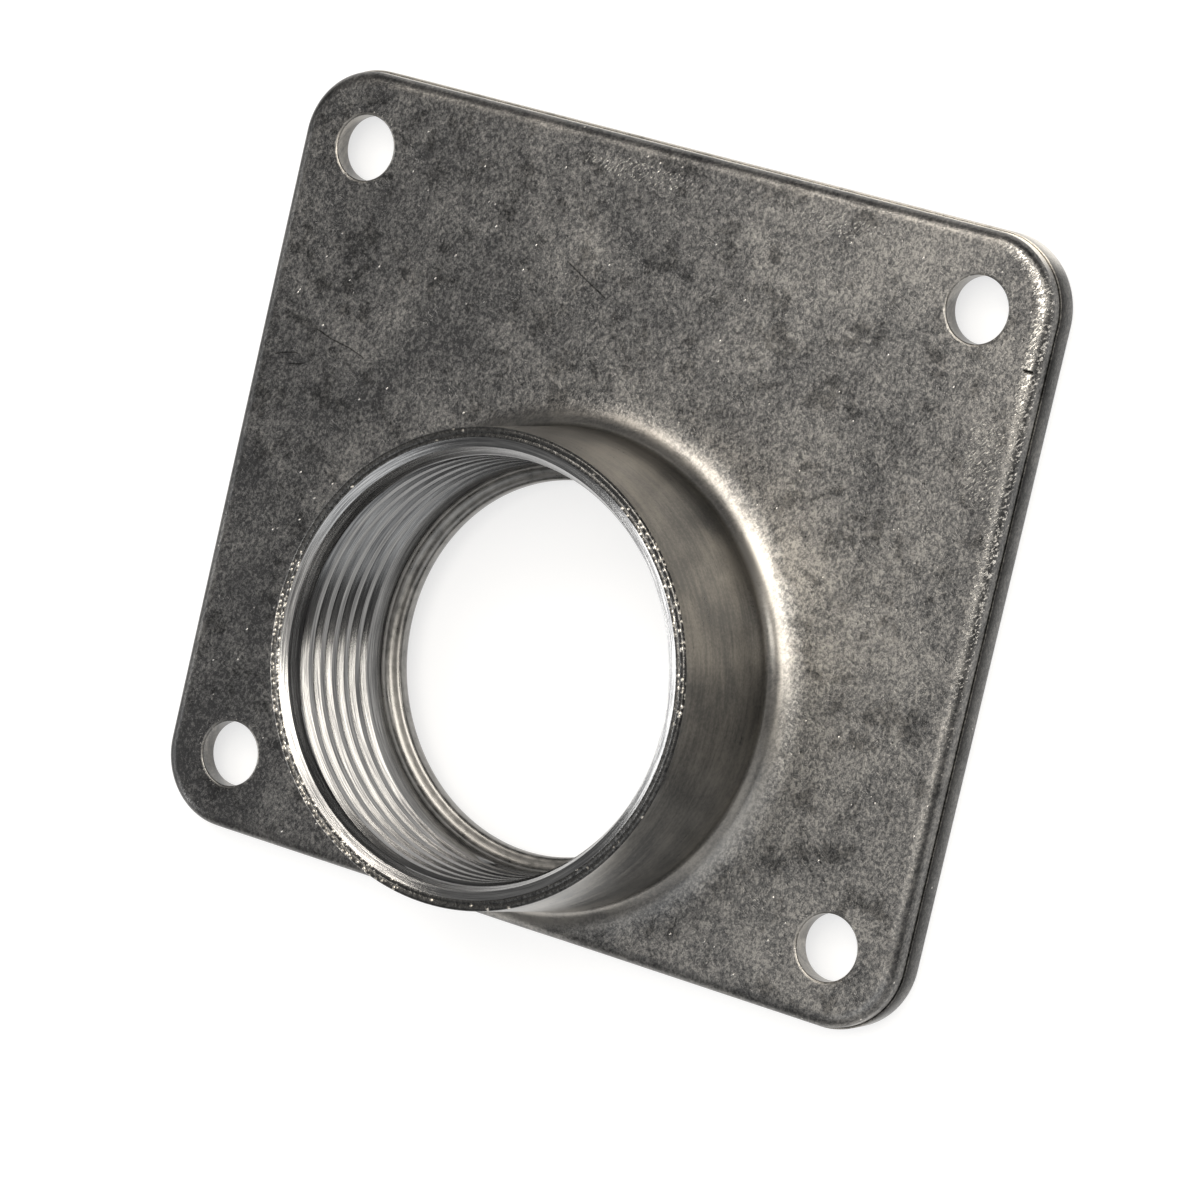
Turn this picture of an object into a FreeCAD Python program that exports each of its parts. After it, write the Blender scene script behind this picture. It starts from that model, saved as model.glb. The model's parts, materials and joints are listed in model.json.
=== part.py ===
import FreeCAD, Part
import math
import os

# Bolt-on conduit hub, one die casting.
# A flanged plate screws down over an opening in an enclosure, and its round boss takes a threaded conduit.
# Frame: millimetres, the plate's back lies on z = 0 and the boss points up along +z.
# The origin is the centre of the plate's back, +y is the edge away from the boss.

# Screw pattern
hole_spacing_x = 76.2
hole_spacing_y = 67.8
hole_diameter = 7.1
hole_edge_margin = 8.5

# Plate, which is a shallow pan: a web with a flange round its back
plate_thickness = 5.2
web_thickness = 2.3
flange_width = 3.0
corner_radius = 8.2
shoulder_radius = 1.1
parting_height = 3.0
parting_step = 0.15
plate_draft_deg = 2.0
pocket_root_radius = 0.8

# Boss, whose rim is as wide as the bore, its lead-in and the land leave it
boss_height = 18.0
rim_land = 1.05
rim_edge_chamfer = 0.3
boss_draft_deg = 2.0
boss_root_radius = 2.2
boss_edge_gap = 0.35

# Bore through the boss, at the size that the thread is tapped in
bore_diameter = 44.0
lead_in_depth = 2.0
lead_in_width = 2.05

# Throat, the smooth lip that the wires run over, and the ledge between it and the bore's wall
ledge_width = 1.4
throat_front_chamfer = 0.6
throat_land = 0.4

# Sizes that follow from the ones above
plate_width = hole_spacing_x + 2 * hole_edge_margin
plate_height = hole_spacing_y + 2 * hole_edge_margin
pocket_depth = plate_thickness - web_thickness
rim_level = plate_thickness + boss_height
bore_radius = bore_diameter / 2
mouth_radius = bore_radius + lead_in_width
rim_radius = mouth_radius + rim_land
throat_radius = bore_radius - ledge_width - throat_front_chamfer
throat_back_radius = web_thickness - throat_front_chamfer - throat_land
plate_draft = math.tan(math.radians(plate_draft_deg))
boss_draft = math.radians(boss_draft_deg)

# The root fillet's centre, over the circle where it meets the plate's front
root_centre_level = plate_thickness + boss_root_radius
wall_radius_at_root = rim_radius + (rim_level - root_centre_level) * math.tan(boss_draft)
root_foot_radius = wall_radius_at_root + boss_root_radius / math.cos(boss_draft)
boss_axis_y = root_foot_radius + boss_edge_gap - plate_height / 2
boss_axis = FreeCAD.Vector(0, boss_axis_y, 0)


def point(radius, level):
    """A point of a section that is turned about the z axis."""
    return FreeCAD.Vector(radius, 0, level)


def arc(start, centre, end):
    """The short arc of a section from start to end about centre, in the section's plane."""
    bisector = (start - centre) + (end - centre)
    middle = centre + bisector.normalize() * (start - centre).Length
    return Part.Arc(start, middle, end).toShape()


def turned(edges):
    """The solid that a closed section makes when it is turned about the boss axis."""
    section = Part.Face(Part.Wire(edges))
    solid = section.revolve(FreeCAD.Vector(0, 0, 0), FreeCAD.Vector(0, 0, 1), 360)
    solid.translate(boss_axis)
    return solid


def chain(points):
    """Straight edges through the points in turn."""
    return [Part.makeLine(first, second) for first, second in zip(points, points[1:])]


def plate_outline(inset, level):
    """The plate's rounded outline, drawn in from its edge by inset."""
    radius = corner_radius - inset
    centre_x = plate_width / 2 - corner_radius
    centre_y = plate_height / 2 - corner_radius
    centres = [(centre_x, centre_y), (-centre_x, centre_y), (-centre_x, -centre_y), (centre_x, -centre_y)]
    corners = []
    for quarter, (x, y) in enumerate(centres):
        centre = FreeCAD.Vector(x, y, level)
        start = 90 * quarter
        corners.append(Part.makeCircle(radius, centre, FreeCAD.Vector(0, 0, 1), start, start + 90))
    edges = []
    for corner, following in zip(corners, corners[1:] + corners[:1]):
        edges.append(corner)
        edges.append(Part.makeLine(corner.Vertexes[1].Point, following.Vertexes[0].Point))
    return Part.Wire(edges)


def drafted_block(low_inset, low_level, high_inset, high_level):
    """The block between two of the plate's outlines."""
    outlines = [plate_outline(low_inset, low_level), plate_outline(high_inset, high_level)]
    return Part.makeLoft(outlines, True, True)


def edges_at(solid, level):
    """The edges of a solid that lie flat at a level."""
    tolerance = 1e-4
    flat = []
    for edge in solid.Edges:
        box = edge.BoundBox
        if abs(box.ZMin - level) < tolerance and abs(box.ZMax - level) < tolerance:
            flat.append(edge)
    return flat


def plate_blank():
    """Both halves of the plate, drafted away from the parting line, with the front edge rounded over."""
    back_inset = parting_height * plate_draft
    back_half = drafted_block(back_inset, 0, 0, parting_height)
    front_inset = parting_step + (plate_thickness - parting_height) * plate_draft
    front_half = drafted_block(parting_step, parting_height, front_inset, plate_thickness)
    front_half = front_half.makeFillet(shoulder_radius, edges_at(front_half, plate_thickness))
    return back_half.fuse(front_half)


def pocket():
    """The recess in the back, which leaves the web and the flange."""
    root_inset = flange_width + pocket_depth * plate_draft
    block = drafted_block(flange_width, 0, root_inset, pocket_depth)
    return block.makeFillet(pocket_root_radius, edges_at(block, pocket_depth))


def boss_blank():
    """The boss before it is bored: a drafted wall, a chamfered rim edge and a root fillet."""
    embedded_level = plate_thickness - web_thickness / 2
    root_centre = point(root_foot_radius, root_centre_level)
    wall_normal = point(math.cos(boss_draft), math.sin(boss_draft))
    root_foot = point(root_foot_radius, plate_thickness)
    root_top = root_centre - wall_normal * boss_root_radius
    wall_top = point(rim_radius + rim_edge_chamfer * math.tan(boss_draft), rim_level - rim_edge_chamfer)
    rim_edge = point(rim_radius - rim_edge_chamfer, rim_level)
    edges = chain([root_top, wall_top, rim_edge, point(0, rim_level), point(0, embedded_level)])
    edges += chain([point(0, embedded_level), point(root_foot_radius, embedded_level), root_foot])
    edges.append(arc(root_foot, root_centre, root_top))
    return turned(edges)


def boss_on_plate():
    """The boss, with its root fillet ended where the plate's front edge starts to round over."""
    front_inset = parting_step + (plate_thickness - parting_height) * plate_draft + shoulder_radius
    flat_front = Part.Face(plate_outline(front_inset, 0))
    return boss_blank().common(flat_front.extrude(FreeCAD.Vector(0, 0, rim_level)))


def bore():
    """The way through: lead-in, tapped bore, ledge, and the throat's lip down to the web's back."""
    back_centre = point(throat_radius + throat_back_radius, pocket_depth + throat_back_radius)
    back_start = point(throat_radius + throat_back_radius, pocket_depth)
    back_end = point(throat_radius, pocket_depth + throat_back_radius)
    front_start = point(throat_radius, plate_thickness - throat_front_chamfer)
    front_end = point(throat_radius + throat_front_chamfer, plate_thickness)
    floor_corner = point(bore_radius, plate_thickness)
    wall_top = point(bore_radius, rim_level - lead_in_depth)
    mouth = point(mouth_radius, rim_level)
    edges = [arc(back_start, back_centre, back_end)]
    edges += chain([back_end, front_start, front_end, floor_corner, wall_top, mouth])
    edges += chain([mouth, point(0, rim_level), point(0, pocket_depth), back_start])
    return turned(edges)


def screw_holes():
    """The four screw holes, as one pattern."""
    holes = []
    for side_x in (-1, 1):
        for side_y in (-1, 1):
            foot = FreeCAD.Vector(side_x * hole_spacing_x / 2, side_y * hole_spacing_y / 2, 0)
            holes.append(Part.makeCylinder(hole_diameter / 2, plate_thickness, foot))
    return holes


def hub_casting():
    """The finished casting."""
    body = plate_blank().cut(pocket())
    body = body.fuse(boss_on_plate())
    body = body.cut(bore())
    body = body.cut(screw_holes())
    return body.removeSplitter()


os.makedirs("parts", exist_ok=True)
casting = hub_casting()
casting.exportStep("parts/hub_casting.step")
print("boss axis y", round(boss_axis_y, 3), "root foot radius", round(root_foot_radius, 3))
print("valid", casting.isValid(), "solids", len(casting.Solids), "volume mm3", round(casting.Volume, 1))
print("box", casting.optimalBoundingBox())
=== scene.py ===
# %% [markdown]
# # A bolt-on conduit hub
# The object is one die casting: a shallow rectangular pan that screws down over an opening in an enclosure,
# with a round boss that takes a threaded conduit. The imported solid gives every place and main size. This
# file dresses it: the same form again as one closed mesh, with the pipe thread cut in, the soft edges of a
# casting and its finishes.

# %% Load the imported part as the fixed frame
import json
import math

import bmesh
import bpy
import numpy as np
from mathutils import Matrix, Vector, geometry, noise


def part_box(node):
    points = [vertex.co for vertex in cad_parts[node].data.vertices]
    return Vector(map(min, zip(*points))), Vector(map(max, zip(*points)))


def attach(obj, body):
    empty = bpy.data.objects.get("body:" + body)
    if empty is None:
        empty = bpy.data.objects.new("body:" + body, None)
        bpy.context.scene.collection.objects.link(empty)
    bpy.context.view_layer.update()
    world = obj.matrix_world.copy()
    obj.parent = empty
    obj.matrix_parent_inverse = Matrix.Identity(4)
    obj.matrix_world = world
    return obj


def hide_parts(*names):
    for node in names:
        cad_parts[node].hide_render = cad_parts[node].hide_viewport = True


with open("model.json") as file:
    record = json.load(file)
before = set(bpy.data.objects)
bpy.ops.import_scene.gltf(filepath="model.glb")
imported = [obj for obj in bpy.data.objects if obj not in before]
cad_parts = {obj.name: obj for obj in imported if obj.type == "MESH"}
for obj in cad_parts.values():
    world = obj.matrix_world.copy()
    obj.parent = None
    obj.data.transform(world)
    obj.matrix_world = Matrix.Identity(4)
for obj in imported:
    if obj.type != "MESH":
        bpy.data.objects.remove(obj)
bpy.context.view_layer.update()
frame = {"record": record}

# %% [markdown]
# ## Sizes
# What the frame knows is read from it: the box of the casting, and the places and radii of its mounts. The
# rest are the small sizes of the casting's edges, which the frame doesn't hold.

# %% Sizes from the frame
mm = 0.001
low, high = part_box("hub_casting")
mounts = {mount["name"]: mount for mount in frame["record"]["mounts"]}
thread_mount = mounts["conduit_thread"]
screw_mount = mounts["screw_holes"]

plate_width = high.x - low.x
plate_height = high.y - low.y
rim_level = high.z
boss_x, boss_y, bore_middle = thread_mount["pos_m"]
bore_radius = thread_mount["dims"]["r_mm"] * mm
ledge_level = bore_middle - thread_mount["dims"]["length_mm"] * mm / 2
front_level = screw_mount["pos_m"][2]
hole_radius = screw_mount["dims"]["hole_r_mm"] * mm
hole_spacing = (screw_mount["dims"]["spacing_x_mm"] * mm, screw_mount["dims"]["spacing_y_mm"] * mm)
print("plate", plate_width, plate_height, "rim", rim_level, "boss axis", boss_x, boss_y)

# %% Small sizes of the casting's edges
web_thickness = 2.3 * mm
flange_width = 3.0 * mm
corner_radius = 8.2 * mm
plate_draft = math.tan(math.radians(2.0))
parting_level = 3.0 * mm
parting_step = 0.15 * mm
shoulder_width = 1.5 * mm
shoulder_drop = 1.15 * mm
pocket_root_radius = 0.8 * mm
pocket_level = front_level - web_thickness

boss_draft = math.tan(math.radians(2.0))
root_height = 2.2 * mm
root_width = 4.0 * mm
rim_radius = 25.1 * mm
mouth_radius = 23.98 * mm
throat_radius = 20.0 * mm
throat_back_radius = 1.3 * mm

root_centre_level = front_level + root_height
wall_radius = rim_radius + (rim_level - root_centre_level) * boss_draft
root_foot_radius = wall_radius + root_width
print("root fillet foot radius", root_foot_radius)

# %% [markdown]
# ## Helpers for node trees
# Shader trees and geometry trees are wired the same way: a node is added, its options are set, and each
# input is either a plain value or a link. Sums of node outputs would take a line for every sign, so an
# output is wrapped in a small class, and the plain signs add the math nodes.

# %% Node helpers
class Value:
    """An output of a node to reckon with: each sign adds a math node to its tree."""

    def __init__(self, socket):
        self.socket = socket
        self.tree = socket.id_data

    def __add__(self, other):
        return calc("ADD", self, other)

    def __sub__(self, other):
        return calc("SUBTRACT", self, other)

    def __rsub__(self, other):
        return calc("SUBTRACT", other, self)

    def __mul__(self, other):
        return calc("MULTIPLY", self, other)

    def __truediv__(self, other):
        return calc("DIVIDE", self, other)


def wire(node, inputs):
    """Links or sets the inputs of a node."""
    for key, value in inputs.items():
        if isinstance(value, Value):
            value.tree.links.new(value.socket, node.inputs[key])
        else:
            node.inputs[key].default_value = value


def place(tree, kind, inputs=None, **options):
    """Adds a node, sets its options and wires its inputs."""
    node = tree.nodes.new(kind)
    for option, value in options.items():
        setattr(node, option, value)
    wire(node, inputs or {})
    return node


def value_of(tree, kind, output, inputs=None, **options):
    """One output of a new node."""
    return Value(place(tree, kind, inputs, **options).outputs[output])


# %% Helpers that reckon with values
def calc(operation, *values):
    """The result of a math node on values of nodes and plain ones."""
    tree = next(value.tree for value in values if isinstance(value, Value))
    return value_of(tree, "ShaderNodeMath", 0, dict(enumerate(values)), operation=operation)


def ramp_between(value, start, end, low_value=0.0, high_value=1.0, smooth=False):
    """A value carried from one range to another and held at its ends."""
    inputs = {"Value": value, "From Min": start, "From Max": end, "To Min": low_value, "To Max": high_value}
    kind = "SMOOTHSTEP" if smooth else "LINEAR"
    return value_of(value.tree, "ShaderNodeMapRange", "Result", inputs, interpolation_type=kind)


def split(vector):
    """The three axes of a vector."""
    node = place(vector.tree, "ShaderNodeSeparateXYZ", {"Vector": vector})
    return [Value(socket) for socket in node.outputs]


def joined(tree, x, y, z):
    """A vector of three axes."""
    return value_of(tree, "ShaderNodeCombineXYZ", "Vector", {"X": x, "Y": y, "Z": z})


# %% [markdown]
# ## Finishes
# The casting has four finishes. The die leaves a mottled grey skin with a fine grain on the plate and a
# smoother one on the boss. The rim's land is dark, with beads on two stretches where the flash was torn
# off, and the beads are painted bright as glints. The thread and its lead-in were cut, with fine lines
# round the bore that draw out each highlight, and the mouth is painted brighter than the shaded grooves
# below it. The throat below the thread is smooth and as cast. Pictures could be wrapped round these
# surfaces, but node materials on object coordinates need no unwrapping, and the pattern stays on the metal
# from every side.

# %% Helpers for the finishes
def start_finish(name):
    """A new node material, with its tree and its metal shader."""
    material = bpy.data.materials.new(name)
    material.use_nodes = True
    tree = material.node_tree
    tree.nodes.clear()
    shader = place(tree, "ShaderNodeBsdfPrincipled", {"Metallic": 1.0})
    place(tree, "ShaderNodeOutputMaterial", {"Surface": Value(shader.outputs["BSDF"])})
    return material, tree, shader


def end_finish(shader, colour, roughness, height, depth):
    """Wires a shader's colour and roughness, and bumps that are this deep where the height is one."""
    bumps = {"Strength": 1.0, "Distance": depth, "Height": height}
    normal = value_of(height.tree, "ShaderNodeBump", "Normal", bumps)
    wire(shader, {"Base Color": colour, "Roughness": roughness, "Normal": normal})


def object_place(tree):
    """The place of a point on the object."""
    return value_of(tree, "ShaderNodeTexCoord", "Object")


def millimetres(tree, grain=(1, 1, 1), turn_deg=0.0):
    """Object coordinates in grains of this size in millimetres, laid at an angle in the plate's plane."""
    lay = {"Vector": object_place(tree), "Angle": math.radians(-turn_deg)}
    turned = value_of(tree, "ShaderNodeVectorRotate", "Vector", lay, rotation_type="Z_AXIS")
    counts = [1 / (side * mm) for side in grain]
    return value_of(tree, "ShaderNodeVectorMath", "Vector", {0: turned, 1: counts}, operation="MULTIPLY")


def cloud(vector, scale, detail, roughness, distortion=0.0):
    """One layer of noise."""
    inputs = {"Vector": vector, "Scale": scale, "Detail": detail, "Roughness": roughness}
    inputs["Distortion"] = distortion
    return value_of(vector.tree, "ShaderNodeTexNoise", "Fac", inputs)


def dots(vector, scale, share, radius):
    """Round dots in a chosen share of the cells of an uneven pattern, one in the middle and zero outside."""
    cells = place(vector.tree, "ShaderNodeTexVoronoi", {"Vector": vector, "Scale": scale}).outputs
    lot = value_of(vector.tree, "ShaderNodeSeparateColor", "Red", {"Color": Value(cells["Color"])})
    dot = ramp_between(Value(cells["Distance"]), 0.0, radius, 1.0, 0.0, smooth=True)
    return calc("LESS_THAN", lot, share) * dot


def attribute(tree, name):
    """A value that the mesh carries at its points."""
    return value_of(tree, "ShaderNodeAttribute", "Fac", attribute_name=name)


# %% Helpers for colours
def colour_ramp(value, stops):
    """A colour ramp through (position, colour) stops."""
    node = place(value.tree, "ShaderNodeValToRGB", {"Fac": value})
    elements = node.color_ramp.elements
    while len(elements) < len(stops):
        elements.new(0.5)
    for element, (position, colour) in zip(elements, stops):
        element.position = position
        element.color = (*colour, 1.0)
    return Value(node.outputs["Color"])


def mixed(share, first, second):
    """The first colour, with a share of the second."""
    inputs = {"Fac": share, "Color1": first, "Color2": second}
    return value_of(share.tree, "ShaderNodeMixRGB", "Color", inputs)


def brightened(colour, gain):
    """A colour made brighter or darker."""
    return value_of(colour.tree, "ShaderNodeHueSaturation", "Color", {"Color": colour, "Value": gain})


# %% Helpers for patterns round the bore
radius_weight = 1.3


def around_bore(tree):
    """(distance from the boss axis, level, turn about the axis), in millimetres and radians."""
    x, y, z = split(object_place(tree))
    across = (x - boss_x) / mm
    along = (y - boss_y) / mm
    return calc("SQRT", across * across + along * along), z / mm, calc("ARCTAN2", along, across)


def lines_round(tree, pace):
    """Pattern coordinates that run fast along the section and at a slow pace round the axis, with no seam."""
    radius, level, turn = around_bore(tree)
    section = radius * radius_weight + level
    return joined(tree, section, calc("COSINE", turn) * pace, calc("SINE", turn) * pace)


# %% [markdown]
# ## The cast skin
# Most of the casting is one material in layers, so its change from raw to smooth has no edge: a mottled
# tone, painted lighter towards the right, dark strokes, pits and smudges over it, painted shade and some
# dirt where the mesh says so, and bare metal with painted glints on top. Four attributes of the mesh steer
# it: polish, grime, wear and trimmed, which paints the long sides
# lighter. They are written once the mesh is whole.

# %% Marks on the cast skin
lay_deg = -25
fibre_size = (2.2, 0.8, 1.0)
speck_size = (0.4, 0.6, 0.5)
speck_gain = 1.5
hatch_deg = -40
hatch_size = (0.22, 0.6, 0.4)
wear_and_glint_gain = 0.25


def dark_marks(tree, even, blotch, raw):
    """Short strokes, pits and smudges of the raw skin."""
    fibre = cloud(millimetres(tree, fibre_size, lay_deg), 1.0, 3.0, 0.7)
    gathered = ramp_between(blotch, 0.5, 0.3, smooth=True)
    stroke = ramp_between(calc("ABSOLUTE", fibre - 0.5), 0.0, 0.025, 1.0, 0.0) * gathered * raw
    pit = dots(even, 1.0, 0.14, 0.2) * raw
    patch = cloud(even, 0.26, 8.0, 0.72, 0.3)
    smudge = ramp_between(patch, 0.48, 0.38, smooth=True) * raw
    return stroke, pit, smudge


def bare_flecks_and_glints(tree, raw):
    """Bare metal and painted glints: hatched where the skin is worn, and rare bright specks painted on the
    raw skin.
    """
    hatch = cloud(millimetres(tree, hatch_size, hatch_deg), 1.0, 3.0, 0.7)
    # painted glints: worn places and rare specks take a bright metal colour
    rub_and_glint = ramp_between(hatch + attribute(tree, "wear") * wear_and_glint_gain, 0.73, 0.82)
    speck = dots(millimetres(tree, speck_size, lay_deg), 1.0, 0.014, 0.33) * raw
    return calc("MAXIMUM", rub_and_glint, speck * speck_gain)


# %% The cast skin of the plate and boss
grain_size = (0.3, 0.42, 0.36)
raw_tones = [(0.33, (0.08, 0.08, 0.082)), (0.485, (0.22, 0.217, 0.212)), (0.64, (0.47, 0.45, 0.42))]
smooth_tones = [(0.4, (0.17, 0.168, 0.164)), (0.6, (0.37, 0.35, 0.32))]
bare_metal_and_glint = (0.82, 0.785, 0.725, 1.0)
# painted light: the raw tone grows lighter from this x to the next, in millimetres
painted_light_start = -45
painted_light_end = 25


def cast_skin():
    """Mottled grey die-cast skin, smooth where polished, with painted shade and dirt, bare metal with painted
    glints, and painted sheen.
    """
    material, tree, shader = start_finish("cast_skin")
    polish = attribute(tree, "polish")
    trimmed = attribute(tree, "trimmed")
    raw = 1.0 - polish
    even = millimetres(tree)
    grain = ramp_between(cloud(millimetres(tree, grain_size, lay_deg), 1.0, 3.0, 0.8), 0.36, 0.64)
    blotch = cloud(even, 0.45, 4.0, 0.62)
    bank = cloud(even, 0.09, 3.0, 0.55, 0.6)
    streak = cloud(lines_round(tree, 2.5), 1.3, 5.0, 0.65)
    stroke, pit, smudge = dark_marks(tree, even, blotch, raw)
    bare_fleck_and_glint = bare_flecks_and_glints(tree, raw)

    # painted light: the plate's raw skin is lighter towards the right
    painted_right_light = ramp_between(split(even)[0], painted_light_start, painted_light_end)
    raw_tone = bank * 0.3 + blotch * 0.2 + grain * 0.27 + painted_right_light * 0.11
    smooth_tone = bank * 0.5 + grain * 0.1 + streak * 0.4
    skin = mixed(polish, colour_ramp(raw_tone, raw_tones), colour_ramp(smooth_tone, smooth_tones))
    # painted shade: the attribute darkens the parting line, the nick, the short sides and the shoulders, and
    # the scratches as dirt
    clear_of_dirt_and_shade = ramp_between(attribute(tree, "grime"), 0.0, 1.0, 1.0, 0.08)
    marks = calc("MAXIMUM", stroke, pit) + smudge * 0.75
    shade = clear_of_dirt_and_shade * ramp_between(marks, 0.0, 1.0, 1.0, 0.4)
    # painted glints and painted reflection: worn flecks and the long sides take a bright metal colour
    bared_and_painted_bright = calc("MAXIMUM", bare_fleck_and_glint, trimmed * shade)
    colour = mixed(bared_and_painted_bright, brightened(skin, shade), bare_metal_and_glint)

    roughness = blotch * 0.05 + grain * 0.03 + streak * 0.14 - trimmed * 0.06 + 0.2
    relief = grain * 0.012 + blotch * 0.03 - stroke * 0.012 - pit * 0.03
    relief = relief * ramp_between(polish, 0.0, 1.0, 1.0, 0.1) + bare_fleck_and_glint * 0.045 + streak * polish * 0.006
    end_finish(shader, colour, roughness, relief * (1.0 - trimmed), mm)
    return material


# %% [markdown]
# ## Rim, thread and throat
# The rim's beads are small dots of a cell pattern, in two rows with a gap between, painted bright as glints.
# The thread's pattern is fine lines round the bore. A cut surface like that has a long highlight across its
# lines, which the shader's anisotropy gives once its tangent is set along the axis.

# %% The rim's land, with its beaded stretches as (middle, end of the full beads, last bead, share)
bead_stretches = [(215, 35, 50, 1.0), (30, 18, 32, 0.55)]
bead_gap_radius = 24.45
# painted glints: the beads' bright warm colour stands in for light glinting on them
bead_glint_metal = (0.92, 0.86, 0.76, 1.0)
land_tones = [(0.35, (0.045, 0.045, 0.045)), (0.65, (0.15, 0.147, 0.142))]
land_edge = 0.12


def trimmed_rim():
    """The dark land of the boss, beaded where the flash was torn off, the beads painted bright as glints."""
    material, tree, shader = start_finish("trimmed_rim")
    radius, _, turn = around_bore(tree)
    even = millimetres(tree)
    torn = cloud(even, 2.2, 3.0, 0.65)
    stretches = []
    for middle_deg, full_deg, last_deg, most in bead_stretches:
        facing = calc("COSINE", turn - math.radians(middle_deg))
        last, full = (math.cos(math.radians(angle)) for angle in (last_deg, full_deg))
        stretches.append(ramp_between(facing, last, full, 0.0, most))
    in_row = ramp_between(calc("ABSOLUTE", radius - bead_gap_radius), 0.03, 0.13)
    share = ramp_between(calc("MAXIMUM", *stretches) * in_row, 0.0, 1.0, 0.03, 0.92)
    bead = dots(even, 2.5, share, 0.7)
    edge = ramp_between(radius, rim_radius / mm - land_edge, rim_radius / mm, 1.0, 0.25)
    colour = mixed(bead, brightened(colour_ramp(torn, land_tones), edge), bead_glint_metal)
    roughness = ramp_between(torn, 0.3, 0.7, 0.34, 0.2)
    end_finish(shader, colour, roughness, torn * 0.04 + bead * 0.05, mm)
    return material


# %% The cut thread
thread_tones = [(0.38, (0.08, 0.08, 0.082)), (0.62, (0.3, 0.298, 0.293))]
# painted light: the mouth of the bore is painted brighter than the grooves below, which lie in shade
mouth_light_start = rim_level / mm - 1.5
mouth_light_full = rim_level / mm - 1.1
mouth_light_gain = 2.0
tap_line_depth = 0.01 * mm


def cut_thread():
    """Bright metal with the fine lines that the tap leaves round the bore, painted brighter at the mouth."""
    material, tree, shader = start_finish("cut_thread")
    ring = lines_round(tree, 0.7)
    lines = cloud(ring, 7.0, 3.0, 0.6)
    bands = cloud(ring, 1.6, 3.0, 0.6)
    tint = colour_ramp(lines * 0.6 + bands * 0.4, thread_tones)
    level = around_bore(tree)[1]
    # painted light: brighter at the mouth
    painted_mouth_light = ramp_between(level, mouth_light_start, mouth_light_full, 1.0, mouth_light_gain)
    roughness = ramp_between(bands, 0.3, 0.7, 0.16, 0.24)
    end_finish(shader, brightened(tint, painted_mouth_light), roughness, lines, tap_line_depth)
    wire(shader, {"Anisotropic": 0.6, "Tangent": joined(tree, 0.0, 0.0, 1.0)})
    return material


# %% The smooth throat
throat_tones = [(0.35, (0.15, 0.148, 0.142)), (0.65, (0.34, 0.33, 0.315))]
stain_depth = 0.012 * mm


def throat_skin():
    """The as-cast ledge and lip under the thread, smooth and a little darker than the plate."""
    material, tree, shader = start_finish("throat_skin")
    drag = cloud(lines_round(tree, 3.0), 2.2, 4.0, 0.6)
    stain = cloud(millimetres(tree), 0.7, 5.0, 0.65)
    tint = colour_ramp(drag * 0.4 + stain * 0.6, throat_tones)
    end_finish(shader, tint, ramp_between(stain, 0.3, 0.7, 0.24, 0.42), stain, stain_depth)
    return material


finishes = {finish.name: finish for finish in (cast_skin(), trimmed_rim(), cut_thread(), throat_skin())}
finish_index = {name: index for index, name in enumerate(finishes)}
print("finishes", finish_index)

# %% [markdown]
# ## Geometry trees
# The thread follows a helix, the boss and throat are turned shapes, and the four screw holes repeat. Each
# of these is a rule, so a geometry tree makes it from named sizes. The inputs are set on the modifier, by
# the socket's identifier, before the object is evaluated for the first time. Then the result becomes a
# plain mesh.

# %% Helpers for geometry trees
weld_distance = 0.002 * mm
columns = 256

SOCKETS = {
    float: "NodeSocketFloat",
    int: "NodeSocketInt",
    bpy.types.Material: "NodeSocketMaterial",
    bpy.types.Object: "NodeSocketObject",
}


def start_tree(name, values):
    """A geometry tree with an input for each named value, and what the inputs bring in."""
    tree = bpy.data.node_groups.new(name, "GeometryNodeTree")
    tree.interface.new_socket("Geometry", in_out="OUTPUT", socket_type="NodeSocketGeometry")
    for label, value in values.items():
        tree.interface.new_socket(label, in_out="INPUT", socket_type=SOCKETS[type(value)])
    given = place(tree, "NodeGroupInput").outputs
    return tree, {socket.name: Value(socket) for socket in given}


def through(shape, kind, **inputs):
    """A shape sent through a node."""
    return value_of(shape.tree, kind, "Geometry", {"Geometry": shape, **inputs})


def end_tree(shape, material):
    """Realizes the shape, gives it its finish and sends it out."""
    real = through(shape, "GeometryNodeRealizeInstances")
    finished = through(real, "GeometryNodeSetMaterial", Material=material)
    place(shape.tree, "NodeGroupOutput", {"Geometry": finished})


def wrapped_grid(column_count, row_count):
    """A grid, with the turn about an axis and the row of each of its points."""
    tree = row_count.tree
    rows_long = row_count - 1
    sizes = {"Size X": math.tau, "Size Y": rows_long, "Vertices X": column_count + 1, "Vertices Y": row_count}
    grid = value_of(tree, "GeometryNodeMeshGrid", "Mesh", sizes)
    across, along, _ = split(value_of(tree, "GeometryNodeInputPosition", "Position"))
    return grid, across + math.pi, calc("ROUND", along + rows_long / 2)


def set_round(mesh, turn, radius, level):
    """Moves the points of a grid to a radius and level about the z axis, and closes the seam."""
    spot = joined(mesh.tree, radius * calc("COSINE", turn), radius * calc("SINE", turn), level)
    moved = through(mesh, "GeometryNodeSetPosition", Position=spot)
    return through(moved, "GeometryNodeMergeByDistance", Distance=weld_distance)


def add_object(name, data):
    """A new object in the scene."""
    thing = bpy.data.objects.new(name, data)
    bpy.context.scene.collection.objects.link(thing)
    return thing


def grow(name, tree, values):
    """The plain mesh that a geometry tree makes from these values."""
    holder = add_object(name, bpy.data.meshes.new(name))
    modifier = holder.modifiers.new(name, "NODES")
    modifier.node_group = tree
    for item in tree.interface.items_tree:
        if item.in_out == "INPUT":
            modifier[item.identifier] = values[item.name]
    depsgraph = bpy.context.evaluated_depsgraph_get()
    mesh = bpy.data.meshes.new_from_object(holder.evaluated_get(depsgraph))
    bpy.data.objects.remove(holder)
    print(name, "made", len(mesh.vertices), "points", len(mesh.polygons), "faces")
    return mesh


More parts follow.
